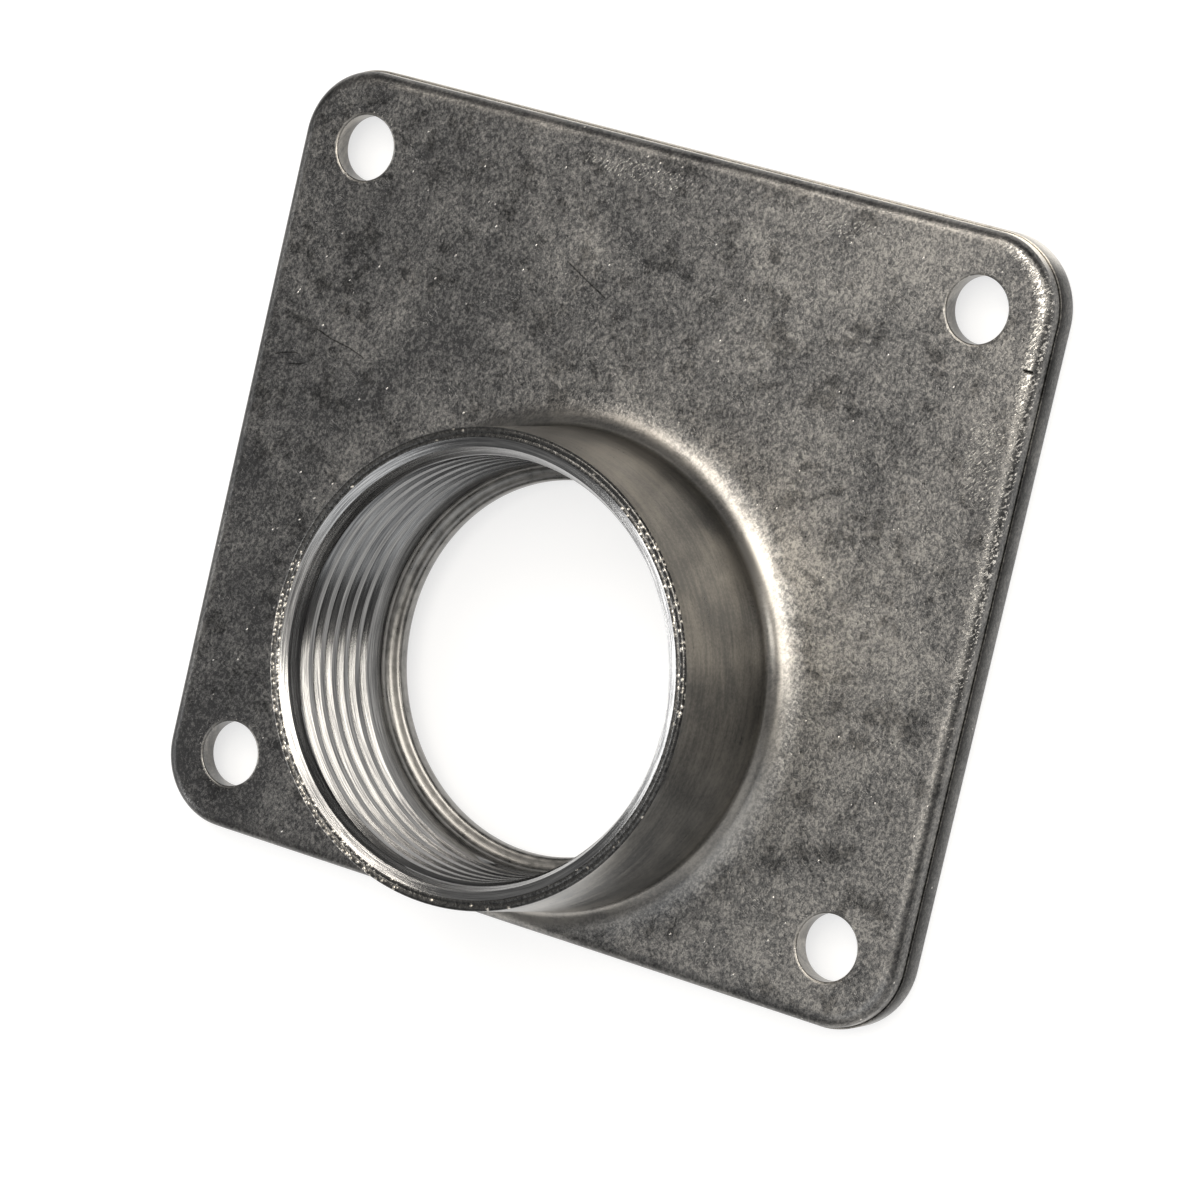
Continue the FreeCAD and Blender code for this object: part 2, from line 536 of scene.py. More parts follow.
# %% [markdown]
# ## The pipe thread
# A taper pipe thread is a V groove that climbs the bore as a helix, while the bore narrows by one in
# thirty-two on each side. A screw modifier could spin a profile, but it can't taper, stop at a level or run
# out. Here a grid is wrapped round the bore with its rows laid along the helix, so each crest and root is
# one clean edge. A point's level is held between the ends of the bore, and its radius then follows from the
# thread's section at that level. The lead-in is the wider of cone and thread, which gives the natural start
# of the first groove, and the groove fades out at both of its ends over part of a turn.

# %% The thread's tree
CREST_ROWS = 5
FLANK_ROWS = 5
ROOT_ROWS = 1
ROWS_A_PITCH = CREST_ROWS + ROOT_ROWS + 2 * FLANK_ROWS


def thread_tree(values):
    """The bore's wall: the lead-in cone, the thread with both of its ends, and the plain band under it."""
    tree, given = start_tree("thread_wall", values)
    mesh, turn, row = wrapped_grid(given["Columns"], given["Rows"])
    pitch = given["Pitch"]
    crest_share = given["Crest Flat"] / pitch
    root_share = given["Root Flat"] / pitch
    flank_share = (1.0 - crest_share - root_share) / 2
    share = turn / math.tau

    step = calc("MODULO", row, ROWS_A_PITCH)
    offset = calc("FLOOR", row / ROWS_A_PITCH)
    root_row = CREST_ROWS + FLANK_ROWS
    starts = (0, CREST_ROWS, root_row, root_row + ROOT_ROWS, ROWS_A_PITCH)
    for first, last, width in zip(starts, starts[1:], (crest_share, flank_share, root_share, flank_share)):
        offset = offset + ramp_between(step, first, last, 0, width)
    free_level = calc("MULTIPLY_ADD", offset + share, pitch, given["Base Level"])
    level = calc("MINIMUM", calc("MAXIMUM", free_level, given["Low Level"]), given["High Level"])

    height = (level - given["Base Level"]) / pitch - share
    groove = calc("FLOOR", height)
    phase = height - groove
    root_start = crest_share + flank_share
    section = ramp_between(phase, crest_share, root_start) - ramp_between(phase, root_start + root_share, 1.0)
    wound = groove + share
    run_out_end = given["Run Out"] + given["Run Out Length"]
    run_in_end = given["Run In"] + given["Run In Length"]
    begun = ramp_between(wound, given["Run Out"], run_out_end, smooth=True)
    cut = begun - ramp_between(wound, given["Run In"], run_in_end)

    below = given["High Level"] - level
    crest = given["Crest Radius"] - below * given["Taper"]
    threaded = crest + section * cut * given["Depth"]
    cone_end = given["Crest Radius"] - given["Cone Depth"] * given["Taper"]
    cone = ramp_between(below, 0, given["Cone Depth"], given["Cone Radius"], cone_end)
    cone = cone * calc("LESS_THAN", below, given["Cone Depth"])
    end_tree(set_round(mesh, turn, calc("MAXIMUM", threaded, cone), level), given["Finish"])
    return tree


# %% Cut the thread
thread_pitch = 25.4 / 11.5 * mm
thread_taper = 1 / 32
flank_slope = math.tan(math.radians(60))
crest_flat = 0.85 * mm
root_flat = 0.12 * mm
groove_depth = (thread_pitch - crest_flat - root_flat) / 2 * flank_slope
crest_radius = bore_radius + 0.26 * mm

bevel_depth = 0.37 * mm
bevel_radius = 23.03 * mm
cone_depth = 1.65 * mm
plain_band = 1.02 * mm
thread_high = rim_level - bevel_depth
thread_low = ledge_level + plain_band
run_out_turn = 259.5 / 360
run_out_length = 14 / 360
run_in_turn = 7.6
run_in_length = 0.5
last_groove_level = 6.45 * mm
base_level = last_groove_level - run_out_turn * thread_pitch
grooves = math.ceil((thread_high - base_level) / thread_pitch) + 2

thread_values = {
    "Pitch": thread_pitch,
    "Crest Flat": crest_flat,
    "Root Flat": root_flat,
    "Depth": groove_depth,
    "Taper": thread_taper,
    "Crest Radius": crest_radius,
    "Base Level": base_level - thread_pitch,
    "Low Level": thread_low,
    "High Level": thread_high,
    "Cone Radius": bevel_radius,
    "Cone Depth": cone_depth,
    "Run Out": 1 + run_out_turn,
    "Run Out Length": run_out_length,
    "Run In": run_in_turn,
    "Run In Length": run_in_length,
    "Columns": columns,
    "Rows": (grooves + 1) * ROWS_A_PITCH + 1,
    "Finish": finishes["cut_thread"],
}
thread_mesh = grow("thread", thread_tree(thread_values), thread_values)
thread_end_radius = crest_radius - (thread_high - thread_low) * thread_taper

# %% [markdown]
# ## Turned walls
# The outside of the boss with its rim and the bevel at its mouth, and the throat under the thread, are
# turned shapes: a section carried round the boss axis. A section is a short list of points and arcs in
# radius and level. The boss's root is half as high as it is wide, so it is an ellipse, not a round fillet.
# The tree samples a section row by row, so each point becomes one ring, and the rings meet the thread's
# ends exactly.

# %% Helpers for sections
def arc_points(centre, radius, start_deg, end_deg, steps):
    """Points along an arc of a section, ends included."""
    angles = [math.radians(start_deg + (end_deg - start_deg) * step / steps) for step in range(steps + 1)]
    return [(centre[0] + radius * math.cos(angle), centre[1] + radius * math.sin(angle)) for angle in angles]


def partway(start, end, share):
    """The point of a section at a share of the way from start to end."""
    return tuple(first + (second - first) * share for first, second in zip(start, end))


def shape_of(name, points):
    """A mesh of loose points that carries a section into a tree, as (radius, 0, level)."""
    mesh = bpy.data.meshes.new(name)
    mesh.from_pydata([(radius, 0, level) for radius, level in points], [], [])
    return add_object(name, mesh)


# %% The boss's section, from the root up the wall, over the rim and down to the thread
fill_radius = 25.9 * mm
draft_deg = math.degrees(math.atan(boss_draft))
fill_deg = 180 + math.degrees(math.acos((root_foot_radius - fill_radius) / root_width))
root_steps = 8
wall_steps = 12
rim_edge = 0.3 * mm
rim_edge_centre = (rim_radius + rim_edge * boss_draft - rim_edge, rim_level - rim_edge)
land_dips = [(0.62, 0.045), (0.5, 0.09), (0.36, 0.054), (0.2, 0.02), (0.08, 0.04), (0.0, 0.07)]

boss_section = []
for angle in np.linspace(math.radians(fill_deg), math.radians(180 + draft_deg), root_steps + 1):
    root_level = root_centre_level + root_height * math.sin(angle)
    boss_section.append((root_foot_radius + root_width * math.cos(angle), root_level))
wall_foot = boss_section[-1]
wall_head = (rim_edge_centre[0] + rim_edge, rim_edge_centre[1])
boss_section += [partway(wall_foot, wall_head, step / wall_steps) for step in range(1, wall_steps)]
boss_section += arc_points(rim_edge_centre, rim_edge, draft_deg, 90, 6)
land_width = rim_edge_centre[0] - mouth_radius
boss_section += [(mouth_radius + share * land_width, rim_level - dip * mm) for share, dip in land_dips]
bevel_foot = (bevel_radius, thread_high)
boss_section += [partway(boss_section[-1], bevel_foot, 0.5), bevel_foot]
print("boss section", len(boss_section), "points")

# %% The throat's section, from the thread down over the lip to the recess
floor_radius = 1.0 * mm
lip_front = 0.6 * mm
floor_centre = (thread_end_radius - floor_radius, ledge_level + floor_radius)
lip_centre = (throat_radius + lip_front, ledge_level - lip_front)
lip_back_centre = (throat_radius + throat_back_radius, pocket_level + throat_back_radius)
throat_section = [(thread_end_radius, thread_low)]
throat_section += arc_points(floor_centre, floor_radius, 0, -90, 5)
throat_section += arc_points(lip_centre, lip_front, 90, 180, 7)
throat_section += arc_points(lip_back_centre, throat_back_radius, 180, 270, 9)
print("throat section", len(throat_section), "points")


# %% The turned tree
def turned_shape(shape, column_count):
    """A section's points, carried round the z axis."""
    tree = shape.tree
    section = value_of(tree, "GeometryNodeObjectInfo", "Geometry", {"Object": shape})
    size = place(tree, "GeometryNodeAttributeDomainSize", {"Geometry": section}, component="MESH")
    mesh, turn, row = wrapped_grid(column_count, Value(size.outputs["Point Count"]))
    position = value_of(tree, "GeometryNodeInputPosition", "Position")
    wanted = {"Geometry": section, "Value": position, "Index": row}
    sample = value_of(tree, "GeometryNodeSampleIndex", "Value", wanted, data_type="FLOAT_VECTOR")
    radius, _, level = split(sample)
    return set_round(mesh, turn, radius, level)


def turned_tree(values):
    """One turned wall."""
    tree, given = start_tree("turned_wall", values)
    end_tree(turned_shape(given["Section"], given["Columns"]), given["Finish"])
    return tree


boss_values = {
    "Section": shape_of("boss_section", boss_section),
    "Columns": columns,
    "Finish": finishes["cast_skin"],
}
throat_values = {
    "Section": shape_of("throat_section", throat_section),
    "Columns": columns,
    "Finish": finishes["throat_skin"],
}
turned = turned_tree(boss_values)
boss_mesh = grow("boss_wall", turned, boss_values)
throat_mesh = grow("throat_wall", turned, throat_values)

# %% [markdown]
# ## Screw holes
# Four plain holes with slightly rounded edges go through the web. One lining is turned and a grid of two by
# two points places it, so the pattern's two spacings are the only sizes that decide where the holes are.

# %% The hole pattern
def hole_tree(values):
    """A hole's lining, at the corners of the screw pattern."""
    tree, given = start_tree("screw_holes", values)
    lining = turned_shape(given["Section"], given["Columns"])
    corners = {"Size X": given["Spacing X"], "Size Y": given["Spacing Y"], "Vertices X": 2, "Vertices Y": 2}
    spread = {"Points": value_of(tree, "GeometryNodeMeshGrid", "Mesh", corners), "Instance": lining}
    end_tree(value_of(tree, "GeometryNodeInstanceOnPoints", "Instances", spread), given["Finish"])
    return tree


hole_edge = 0.2 * mm
hole_columns = 64
run_out = 0.1 * mm
hole_outer = hole_radius + hole_edge + run_out
middle_level = (front_level + pocket_level) / 2
hole_section = [(hole_outer, front_level)]
hole_section += arc_points((hole_radius + hole_edge, front_level - hole_edge), hole_edge, 90, 180, 4)
hole_section += [(hole_radius, middle_level)]
hole_section += arc_points((hole_radius + hole_edge, pocket_level + hole_edge), hole_edge, 180, 270, 4)
hole_section += [(hole_outer, pocket_level)]
hole_values = {
    "Section": shape_of("hole_section", hole_section),
    "Columns": hole_columns,
    "Spacing X": hole_spacing[0],
    "Spacing Y": hole_spacing[1],
    "Finish": finishes["cast_skin"],
}
hole_mesh = grow("hole_linings", hole_tree(hole_values), hole_values)

# %% [markdown]
# ## The plate's edge
# Round its outline the plate has the same section everywhere: the recess's wall at the back, the flange,
# the side with the parting line of the die, and a soft shoulder up to the front. The section is written as
# inset and level, and each of its points becomes a ring. A ring point is a corner's centre, or a point on
# the line between two, moved outwards. Three more columns on the right side make the small nick in its
# shoulder.

# %% The edge's section
draft_length = math.hypot(1, plate_draft)
pocket_centre_level = pocket_level - pocket_root_radius
pocket_centre_inset = flange_width + pocket_centre_level * plate_draft + pocket_root_radius * draft_length
flange_edge = 0.2 * mm
back_edge = 0.25 * mm
side_edge = 0.06 * mm
seam_depth = 0.07 * mm
seam_width = 0.07 * mm
seam_land = 0.03 * mm

back_section = arc_points((pocket_centre_inset, pocket_centre_level), pocket_root_radius, 90, 180, 6)
back_section += arc_points((flange_width - flange_edge, flange_edge), flange_edge, 0, -90, 4)
outer_inset = parting_level * plate_draft
back_section += arc_points((outer_inset + back_edge, back_edge), back_edge, 270, 180, 4)
back_section += [
    (side_edge * plate_draft, parting_level - side_edge),
    (side_edge * 0.5, parting_level),
    (parting_step, parting_level),
    (parting_step + seam_width * 0.4, parting_level - seam_depth),
    (parting_step + seam_width * 0.6, parting_level - seam_depth),
    (parting_step + seam_width, parting_level),
]
shoulder_foot = parting_step + seam_width + seam_land
shoulder_base = front_level - shoulder_drop
shoulder_steps = 12
front_section = []
for step in range(shoulder_steps + 1):
    angle = math.pi / 2 * step / shoulder_steps
    inset = shoulder_foot + shoulder_width * (1 - math.cos(angle))
    front_section.append((inset, shoulder_base + shoulder_drop * math.sin(angle)))
edge_inset = shoulder_foot + shoulder_width + run_out
front_section.append((edge_inset, front_level))
print("edge section", len(back_section) + len(front_section), "points")

# %% The outline's columns and the nick
corner_x = plate_width / 2 - corner_radius
corner_y = plate_height / 2 - corner_radius
corner_steps = 24
side_spacing = 0.8 * mm
nick_y = 29.1 * mm
nick_half_width = 0.2 * mm
nick_depth = 0.18 * mm
nick_start = 0.75 * mm


def outline_columns():
    """(anchor x, anchor y, outward x, outward y) for each column round the plate, anticlockwise."""
    corners = [(corner_x, corner_y), (-corner_x, corner_y), (-corner_x, -corner_y), (corner_x, -corner_y)]
    result = []
    for quarter, start in enumerate(corners):
        for step in range(corner_steps):
            angle = math.pi / 2 * (quarter + step / corner_steps)
            result.append((*start, math.cos(angle), math.sin(angle)))
        end = corners[(quarter + 1) % 4]
        angle = math.pi / 2 * (quarter + 1)
        count = round(math.dist(start, end) / side_spacing)
        shares = [step / count for step in range(count)]
        if quarter == 3:
            nick_columns = (nick_y - nick_half_width, nick_y, nick_y + nick_half_width)
            shares += [0.5 + y / (2 * corner_y) for y in nick_columns]
        for share in sorted(shares):
            result.append((*partway(start, end, share), math.cos(angle), math.sin(angle)))
    return result


def inset_of(x, y):
    """How far a point lies inside the plate's outline."""
    past_x = abs(x) - corner_x
    past_y = abs(y) - corner_y
    if past_x > 0 and past_y > 0:
        return corner_radius - math.hypot(past_x, past_y)
    return corner_radius - max(past_x, past_y)


def in_nick(x, y, z):
    """Whether a point lies at the bottom of the nick in the right shoulder."""
    on_shoulder = z > parting_level and nick_start < inset_of(x, y) < edge_inset - 0.5 * run_out
    return on_shoulder and x > 0 and abs(y - nick_y) < 0.01 * mm


# %% Rings round the plate
def from_axis(x, y):
    """How far a point lies from the boss axis."""
    return math.hypot(x - boss_x, y - boss_y)


def root_rise(x, y):
    """How far the boss's root lifts the front above the plate."""
    inward = (root_foot_radius - from_axis(x, y)) / root_width
    return root_height * (1 - math.sqrt(1 - min(1.0, max(0.0, inward)) ** 2))


outline = outline_columns()
body = bmesh.new()
rings = []
for inset, level in back_section + front_section:
    reach = corner_radius - inset
    ring = []
    for anchor_x, anchor_y, out_x, out_y in outline:
        x = anchor_x + out_x * reach
        y = anchor_y + out_y * reach
        lift = root_rise(x, y) if level > parting_level else 0.0
        if in_nick(x, y, level):
            lift = -nick_depth
        ring.append(body.verts.new((x, y, level + lift)))
    rings.append(ring)
for ring, following in zip(rings, rings[1:]):
    for index in range(len(ring)):
        after = (index + 1) % len(ring)
        body.faces.new((ring[index], ring[after], following[after], following[index]))
print("edge", len(rings), "rings of", len(outline))

# %% [markdown]
# ## Joining the casting
# The turned walls, the thread and the linings come into the same mesh as the edge and are welded where
# their rings meet. Two openings are left, the front and the floor of the recess. Both are filled with
# triangles over the rings that bound them and over loose points between. Those of the front carry the
# boss's root, the slight waves of a cast face and a few scratches.

# %% Bring in the walls
def bring(mesh, finish, shift=(0, 0, 0)):
    """Adds a plain mesh to the casting, moved into place, with one finish."""
    first = len(body.faces)
    mesh.transform(Matrix.Translation(shift))
    body.from_mesh(mesh)
    body.faces.ensure_lookup_table()
    for face in body.faces[first:]:
        face.material_index = finish_index[finish]


axis_shift = (boss_x, boss_y, 0)
bring(thread_mesh, "cut_thread", axis_shift)
bring(boss_mesh, "cast_skin", axis_shift)
bring(throat_mesh, "throat_skin", axis_shift)
bring(hole_mesh, "cast_skin")
bmesh.ops.remove_doubles(body, verts=body.verts, dist=weld_distance)
layer_names = ("polish", "grime", "wear", "trimmed")
for name in layer_names:
    body.verts.layers.float.new(name)
print("open edges before the fill", sum(edge.is_boundary for edge in body.edges))

# %% Scratches on the front, as points in millimetres
scratches = [
    [(-38.9, 13.5), (-36.9, 12.9), (-34.4, 12.5), (-32.5, 11.9)],
    [(-43.4, 9.8), (-42.2, 10.2), (-40.9, 10.5)],
    [(-41.5, 9.1), (-40.0, 9.4)],
    [(-10.0, 27.6), (-7.3, 26.2), (-4.8, 25.0)],
]
scratch_depth = 0.004 * mm
scratch_width = 0.26 * mm
scratch_spacing = 0.12 * mm


def scratch_points(route):
    """Three rows of points along a scratch: both shoulders and the bottom between them."""
    points = []
    for (x0, y0), (x1, y1) in zip(route, route[1:]):
        length = math.hypot(x1 - x0, y1 - y0)
        side_x, side_y = -(y1 - y0) / length, (x1 - x0) / length
        count = max(2, round(length * mm / scratch_spacing))
        for step in range(count):
            x = (x0 + (x1 - x0) * step / count) * mm
            y = (y0 + (y1 - y0) * step / count) * mm
            points.append((x, y, -scratch_depth))
            for side in (-scratch_width / 2, scratch_width / 2):
                points.append((x + side_x * side, y + side_y * side, 0.0))
    return points


scratch_marks = [point for route in scratches for point in scratch_points(route)]
print("scratches", len(scratches), "marks", len(scratch_marks))


# %% Loose points of the two faces
def hex_points(spacing):
    """Points of an even triangle pattern over the plate."""
    row_height = spacing * math.sqrt(3) / 2
    rows_up = int(plate_height / 2 / row_height)
    across = int(plate_width / 2 / spacing)
    for row in range(-rows_up, rows_up + 1):
        for column in range(-across, across + 1):
            yield (column + 0.5 * (row % 2)) * spacing, row * row_height


def hole_gap(x, y):
    """How far a point lies outside the nearest hole's edge."""
    return math.hypot(abs(x) - hole_spacing[0] / 2, abs(y) - hole_spacing[1] / 2) - hole_outer


front_spacing = 0.75 * mm
front_clear = 0.4 * mm
root_clear = 0.15 * mm
root_rings = 10
wave_height = 0.025 * mm
wave_length = 9 * mm
wave_fade = 4 * mm


def front_points():
    """Loose points of the front, with the root's rings, the waves and the scratches."""
    marked = np.array([point[:2] for point in scratch_marks])
    points = [(x, y, front_level + depth) for x, y, depth in scratch_marks]
    for angle in np.linspace(math.radians(fill_deg), math.radians(270), root_rings + 1)[1:]:
        radius = root_foot_radius + root_width * math.cos(angle)
        for column in range(columns):
            turn = math.tau * column / columns
            x = boss_x + radius * math.cos(turn)
            y = boss_y + radius * math.sin(turn)
            if inset_of(x, y) > edge_inset + root_clear:
                points.append((x, y, front_level + root_rise(x, y)))
    for x, y in hex_points(front_spacing):
        from_boss = from_axis(x, y) - root_foot_radius
        room = min(from_boss, inset_of(x, y) - edge_inset, hole_gap(x, y))
        if room < front_clear or np.min(np.hypot(marked[:, 0] - x, marked[:, 1] - y)) < front_clear:
            continue
        wave = noise.fractal(Vector((x, y, 0)) / wave_length, 1.0, 2.0, 3)
        points.append((x, y, front_level + wave * wave_height * min(1.0, room / wave_fade)))
    return points


recess_spacing = 2.5 * mm
recess_clear = 1.0 * mm
throat_edge = throat_radius + throat_back_radius


def recess_points():
    """Loose points of the recess's floor, which is plain."""
    points = []
    for x, y in hex_points(recess_spacing):
        from_throat = from_axis(x, y) - throat_edge
        if min(from_throat, inset_of(x, y) - pocket_centre_inset, hole_gap(x, y)) > recess_clear:
            points.append((x, y, pocket_level))
    return points


# %% Fill the two faces
def fill(on_side, inner_radius, loose_points):
    """Fills the opening on one side of the plate with triangles over its rings and the loose points."""
    edges = [edge for edge in body.edges if edge.is_boundary and all(on_side(vert) for vert in edge.verts)]
    verts = list(dict.fromkeys(vert for edge in edges for vert in edge.verts))
    place_of = {vert: index for index, vert in enumerate(verts)}
    flat = [Vector(vert.co.xy) for vert in verts] + [Vector(point[:2]) for point in loose_points]
    pairs = [tuple(place_of[vert] for vert in edge.verts) for edge in edges]
    added = [body.verts.new(point) for point in loose_points]
    verts += added
    spots, _, triangles, sources, _, _ = geometry.delaunay_2d_cdt(flat, pairs, [], 0, weld_distance / 10)
    count = 0
    for triangle in triangles:
        x = sum(spots[index].x for index in triangle) / 3
        y = sum(spots[index].y for index in triangle) / 3
        if from_axis(x, y) < inner_radius or hole_gap(x, y) < 0:
            continue
        body.faces.new([verts[sources[index][0]] for index in triangle])
        count += 1
    return count, added


front_count, front_verts = fill(lambda vert: vert.co.z > middle_level, fill_radius, front_points())
recess_count, _ = fill(lambda vert: vert.co.z < middle_level, throat_edge, recess_points())
print("front", front_count, "triangles, recess", recess_count)

# %% [markdown]
# ## Wear, polish and painted light
# The four attributes of the cast skin are worked out from where a point lies. Polish is high on the boss
# and in the holes, which the die leaves smooth, and fades out over the root. Painted shade is high in the
# parting line and the nick, and lower on the short sides and the shoulders; the scratches are dark with
# dirt. Wear bares the right edge, most of all by its upper corner, a spot near it, two smears along the
# top and the edges of the holes, and brightens them with painted glints. The long sides are trimmed smooth
# and painted lighter as a reflection, the upper one most. Painting by hand could do the same, but rules
# can be read and changed.

# %% Where the skin is smooth
def between(value, start, end):
    """Zero at start, one at end and a smooth step between."""
    share = min(1.0, max(0.0, (value - start) / (end - start)))
    return share * share * (3 - 2 * share)


def long_side(x, y):
    """One on the plate's two long sides, zero on its short sides, and between at the corners."""
    past_x = max(0.0, abs(x) - corner_x)
    past_y = max(0.0, abs(y) - corner_y)
    past = math.hypot(past_x, past_y)
    return between(past_y, 0.55 * past, 0.9 * past) if past else 0.0


shoulder_polish = 0.3


def polish_at(x, y):
    """How smooth the die left the skin."""
    from_wall = from_axis(x, y) - wall_radius
    on_boss = between(from_wall, 3.2 * mm, 0.6 * mm)
    on_shoulder = between(inset_of(x, y) - edge_inset, 0.3 * mm, -0.7 * mm) * shoulder_polish
    in_hole = 1.0 if hole_gap(x, y) < -0.5 * run_out else 0.0
    return max(on_boss, on_shoulder, in_hole)


# %% Where painted shade darkens it
seam_low = parting_level - seam_depth * 1.1
seam_high = parting_level - seam_depth * 0.5
side_top = shoulder_base + weld_distance
seam_shade = 0.65
flange_shade = 0.5
side_shade = 0.4
shoulder_shade = 0.5
left_shoulder_shade = 0.8
scratch_grime = 0.9


def dirt_and_shade_at(x, y, z):
    """How dark the skin is painted with shade: in the parting line, the nick, the short sides and the
    shoulders.
    """
    inset = inset_of(x, y)
    short_side = 1 - long_side(x, y)
    # painted shade in the parting line, darkest on the short sides
    if inset < shoulder_foot and seam_low < z < seam_high:
        return seam_shade + (1 - seam_shade) * short_side
    # painted shade: the nick is painted dark
    if z > shoulder_base and in_nick(x, y, z):
        return 1.0
    if z < side_top:
        on_flange = inset < parting_step and z < parting_level
        return short_side * (flange_shade if on_flange else side_shade)
    # painted shade on the shoulder band, and more on the left
    on_shoulder = between(inset, 0.9 * mm, 0.4 * mm) * shoulder_shade
    if x < 0:
        on_left = between(inset, 1.7 * mm, 1.0 * mm) * left_shoulder_shade * short_side
        on_shoulder = max(on_shoulder, on_left)
    return on_shoulder


# %% Where it is bare and painted with glints, with the smears as (middle x, middle y, half length, half width) in millimetres
rubbed_glint_x = 43.0 * mm
rubbed_glint_y = 19.0 * mm
rubbed_glint_stretch = 1.5
smears = [(-4.5, 38.8, 9.0, 1.5), (21.0, 38.8, 6.0, 1.8)]
edge_wear_and_glint = 0.8
corner_wear_and_glint = 1.05
smear_wear = 0.75
hole_wear_and_glint = 0.5
lower_side_sheen = 0.2


def wear_and_glint_at(x, y, z):
    """How far the skin is rubbed down to bare metal and painted with glints."""
    if z <= side_top or in_nick(x, y, z):
        return 0.0
    inset = inset_of(x, y)
    short_right = 1 - long_side(x, y) if x > 0 else 0.0
    # painted glints: the right edge, its upper corner, the spot and the hole edges are bared bright
    on_edge = between(inset, 3.0 * mm, 1.5 * mm) * between(y, -25 * mm, 5 * mm) * short_right
    in_spot = between(math.hypot(x - rubbed_glint_x, (y - rubbed_glint_y) / rubbed_glint_stretch), 5 * mm, 2 * mm)
    by_corner = between(inset, 0.5 * mm, 1.0 * mm) * between(inset, 2.6 * mm, 1.9 * mm)
    by_corner *= between(x, 37 * mm, 41 * mm) * between(y, 18 * mm, 28 * mm)
    by_hole = between(hole_gap(x, y), 1.0 * mm, 0)
    worn_and_glinting = max(on_edge * edge_wear_and_glint, in_spot * edge_wear_and_glint, by_corner * corner_wear_and_glint, by_hole * hole_wear_and_glint)
    for middle_x, middle_y, half_length, half_width in smears:
        from_middle = math.hypot((x / mm - middle_x) / half_length, (y / mm - middle_y) / half_width)
        worn_and_glinting = max(worn_and_glinting, between(from_middle, 1.4, 0.5) * smear_wear)
    return worn_and_glinting


def trim_and_painted_sheen_at(x, y, z):
    """How much a long side is trimmed smooth and painted lighter as a reflection."""
    if z >= side_top or inset_of(x, y) >= shoulder_foot + weld_distance:
        return 0.0
    # painted reflection: the long sides are painted lighter, the upper one most
    return long_side(x, y) * (1.0 if y > 0 else lower_side_sheen)


# %% Write the attributes
polish, grime, wear, trimmed = (body.verts.layers.float[name] for name in layer_names)
for vert in body.verts:
    x, y, z = vert.co
    vert[polish] = polish_at(x, y)
    vert[grime] = dirt_and_shade_at(x, y, z)
    vert[wear] = wear_and_glint_at(x, y, z)
    vert[trimmed] = trim_and_painted_sheen_at(x, y, z)
for vert, (x, y, depth) in zip(front_verts, scratch_marks):
    if depth < 0:
        vert[grime] = scratch_grime
print("most wear", max(vert[wear] for vert in body.verts))

# %% Close the mesh and give the rim its finishes
loose = [vert for vert in body.verts if not vert.link_faces]
bmesh.ops.delete(body, geom=loose, context="VERTS")
bmesh.ops.recalc_face_normals(body, faces=body.faces)
for face in body.faces:
    centre = face.calc_center_median()
    if centre.z > rim_level - bevel_depth and from_axis(centre.x, centre.y) < mouth_radius:
        face.material_index = finish_index["cut_thread"]
    elif centre.z > rim_level - rim_edge:
        face.material_index = finish_index["trimmed_rim"]
open_edges = [edge for edge in body.edges if not edge.is_manifold]
print("open or doubled edges", len(open_edges), "loose points removed", len(loose))
print("volume mm3", body.calc_volume() / mm ** 3)

# %% The finished piece takes the solid's place
sharp_deg = 38

hub_mesh = bpy.data.meshes.new("hub_body")
body.to_mesh(hub_mesh)
body.free()
for material in finishes.values():
    hub_mesh.materials.append(material)
hub_mesh.polygons.foreach_set("use_smooth", [True] * len(hub_mesh.polygons))
hub_mesh.set_sharp_from_angle(angle=math.radians(sharp_deg))
triangles = sum(len(polygon.vertices) - 2 for polygon in hub_mesh.polygons)
print("hub body", len(hub_mesh.vertices), "points", triangles, "triangles")

for helper in ("boss_section", "throat_section", "hole_section"):
    bpy.data.objects.remove(bpy.data.objects[helper])
hub_body = add_object("hub_body", hub_mesh)
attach(hub_body, "root")
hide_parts("hub_casting")

# %% [markdown]
# ## Stage, light and camera
# The casting lies on its back on a pale light table, a hair above it so that the two surfaces don't fight.
# A metal shows what it mirrors, so the lights are flat panels placed by what each surface sees. The key
# panel and its wing light the left of the thread and the boss's root, the edge glow and the side strip draw
# the plate's right edge, the panel at the left brightens the lead-in, and dim fills give the plate its
# tone. The camera has a long lens, and its roll tilts the plate in the picture.

# %% The pale floor
floor_half = 1.5
floor_drop = 0.05 * mm
floor_tones = [(0.3, (0.33, 0.33, 0.33)), (0.7, (0.37, 0.37, 0.37))]
floor_glow = 0.7
white = (1.0, 1.0, 1.0, 1.0)

floor_material = bpy.data.materials.new("light_table")
floor_material.use_nodes = True
floor_tree = floor_material.node_tree
floor_colour = colour_ramp(cloud(object_place(floor_tree), 6.0, 3.0, 0.5), floor_tones)
floor_shader = floor_tree.nodes["Principled BSDF"]
wire(floor_shader, {"Base Color": floor_colour, "Roughness": 0.7})
wire(floor_shader, {"Emission Color": white, "Emission Strength": floor_glow})

floor_mesh = bpy.data.meshes.new("light_table")
floor_signs = ((-1, -1), (1, -1), (1, 1), (-1, 1))
floor_corners = [(x * floor_half, y * floor_half, -floor_drop) for x, y in floor_signs]
floor_mesh.from_pydata(floor_corners, [], [(0, 1, 2, 3)])
floor_mesh.materials.append(floor_material)
floor = add_object("light_table", floor_mesh)
print("floor", floor_half * 2, "metres wide")

# %% Light
ceiling = 1.0
surround_glow = 0.19


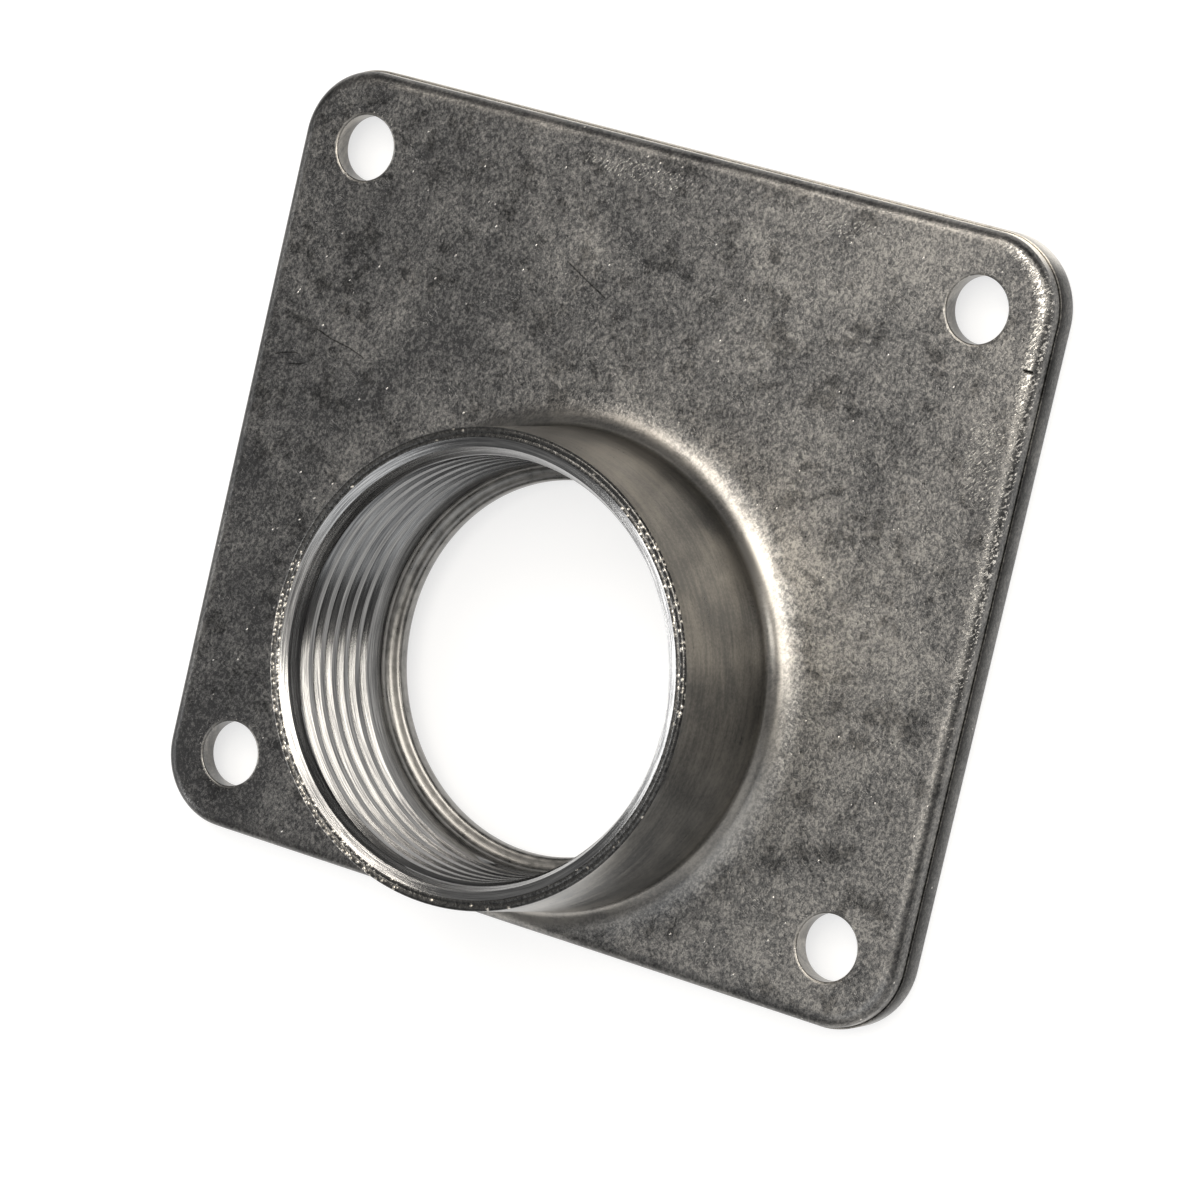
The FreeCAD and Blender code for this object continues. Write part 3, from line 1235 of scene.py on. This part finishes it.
def soft_panel(name, middle, size, glow, colour, facing=(0, 0, -1)):
    """A flat soft light of even glow, with its middle in metres."""
    lamp = bpy.data.lights.new(name, "AREA")
    lamp.shape = "RECTANGLE"
    lamp.size, lamp.size_y = size
    lamp.energy = glow * math.pi * lamp.size * lamp.size_y
    lamp.color = colour
    holder = add_object(name, lamp)
    holder.location = middle
    holder.rotation_mode = "QUATERNION"
    holder.rotation_quaternion = Vector(facing).to_track_quat("-Z", "Y")
    print(name, "glow", glow)


side_middle = Vector((0.953, 0.485, 0.545))
low_middle = Vector((0.85, -1.0, 0.45))
soft_panel("key_panel", (0.285, 0.435, ceiling), (0.63, 0.83), 5.5, (1.0, 0.955, 0.88))
soft_panel("key_wing", (-0.265, 0.61, ceiling), (0.47, 0.38), 6.5, (1.0, 0.94, 0.86))
soft_panel("back_fill", (-0.225, -0.115, ceiling), (0.65, 0.37), 0.6, (1.0, 0.965, 0.92))
soft_panel("edge_glow", (-0.25, 0.1, ceiling), (0.4, 0.3), 2.4, (1.0, 0.95, 0.88))
soft_panel("front_fill", (0.25, -0.675, ceiling), (1.1, 0.65), 0.9, (0.96, 0.98, 1.0))
soft_panel("backdrop", (-1.34, -0.41, 0.49), (0.96, 0.5), 4.0, white[:3], (1.34, 0.41, 0.0))
soft_panel("side_strip", side_middle, (0.25, 0.42), 5.0, (1.0, 0.97, 0.92), -side_middle)
soft_panel("low_fill", low_middle, (1.8, 0.8), 0.45, white[:3], -low_middle)

world = bpy.data.worlds.new("studio")
world.use_nodes = True
wire(world.node_tree.nodes["Background"], {"Color": white, "Strength": surround_glow})
bpy.context.scene.world = world
bpy.context.scene.view_settings.view_transform = "Standard"

# %% Camera
camera_target = Vector((-0.15, -6.66, 0.0)) * mm
camera_distance = 671.6 * mm
camera_azimuth = math.radians(103.69)
camera_elevation = math.radians(60.09)
camera_roll = math.radians(12.95)

camera_data = bpy.data.cameras.new("camera")
camera_data.lens = 189.12
camera_data.sensor_width = 36.0
camera_data.clip_start = 0.01
camera_data.clip_end = 10.0
camera = add_object("camera", camera_data)
flat_reach = math.cos(camera_elevation)
view_back = Vector((
    math.sin(camera_azimuth) * flat_reach,
    -math.cos(camera_azimuth) * flat_reach,
    math.sin(camera_elevation),
))
camera.location = camera_target + view_back * camera_distance
view_up = Vector((0, 1, 0)) - view_back * view_back.y
view_up.normalize()
view_up.rotate(Matrix.Rotation(camera_roll, 3, view_back))
view_right = view_up.cross(view_back)
camera.rotation_mode = "QUATERNION"
camera.rotation_quaternion = Matrix((view_right, view_up, view_back)).transposed().to_quaternion()
bpy.context.scene.camera = camera
print("camera at", tuple(camera.location))
